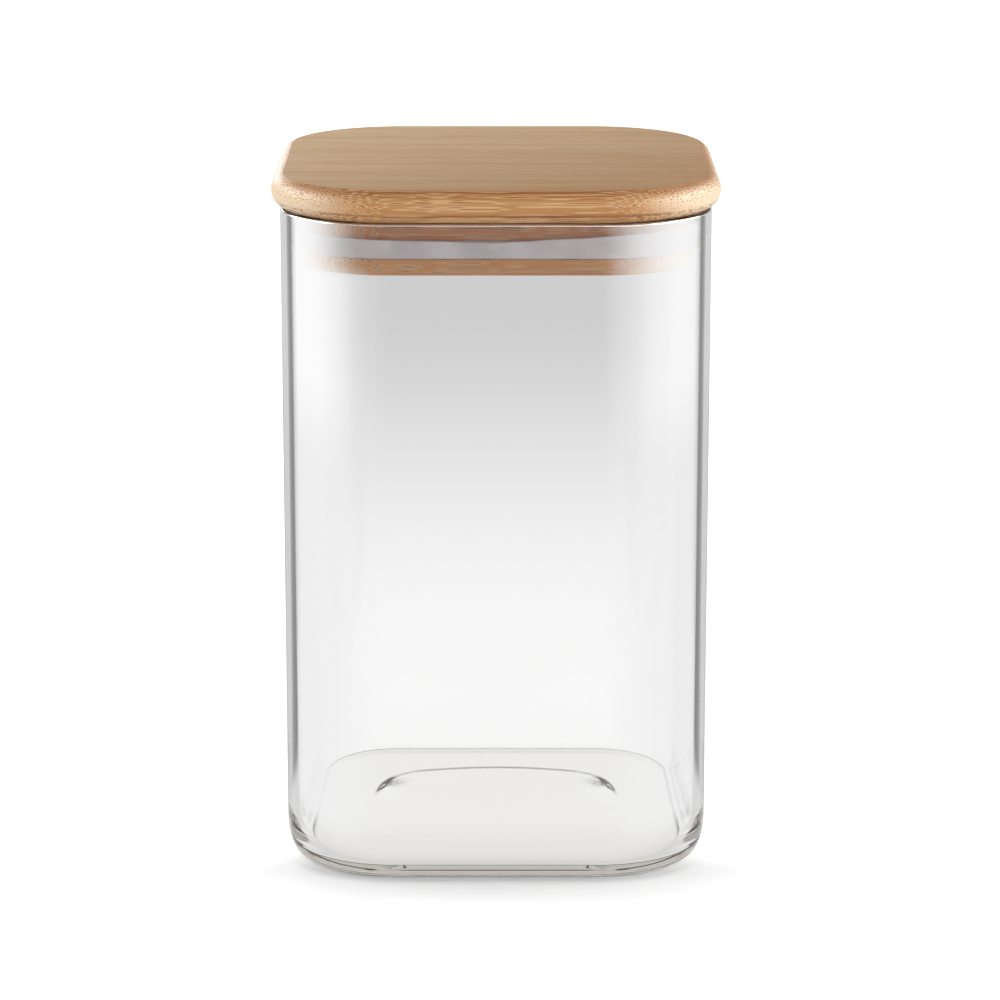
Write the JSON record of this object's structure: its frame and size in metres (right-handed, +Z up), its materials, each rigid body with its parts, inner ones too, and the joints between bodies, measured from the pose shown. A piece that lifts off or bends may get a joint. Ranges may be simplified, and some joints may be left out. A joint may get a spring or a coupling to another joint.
{
  "type": "storage jar",
  "caption": "Tall square glass storage jar with rounded corners and a push-fit bamboo lid, sealed by a silicone ring round the lid's plug. The lid lifts straight off.",
  "frame": {"origin": "centre of the jar's foot, on the surface it stands on", "axes": "+Z up along the jar's axis, +X and +Y square to its sides, with the bamboo's grain along X"},
  "size_m": [0.1044, 0.1044, 0.1634],
  "materials": {
    "clear_glass": "clear blown borosilicate glass, fire-polished rim",
    "bamboo": "sanded laminated bamboo with a thin oil finish",
    "silicone": "milky translucent moulded silicone"
  },
  "bodies": {
    "jar": {"jar_body": "clear_glass"},
    "lid": {"lid_top_ply": "bamboo", "lid_middle_ply": "bamboo", "lid_bottom_ply": "bamboo", "seal_ring": "silicone"}
  },
  "joints": [
    {"name": "lid_lift", "type": "slide", "parent": "jar", "child": "lid", "axis": [0, 0, 1], "range_m": [0, 0.1]}
  ]
}
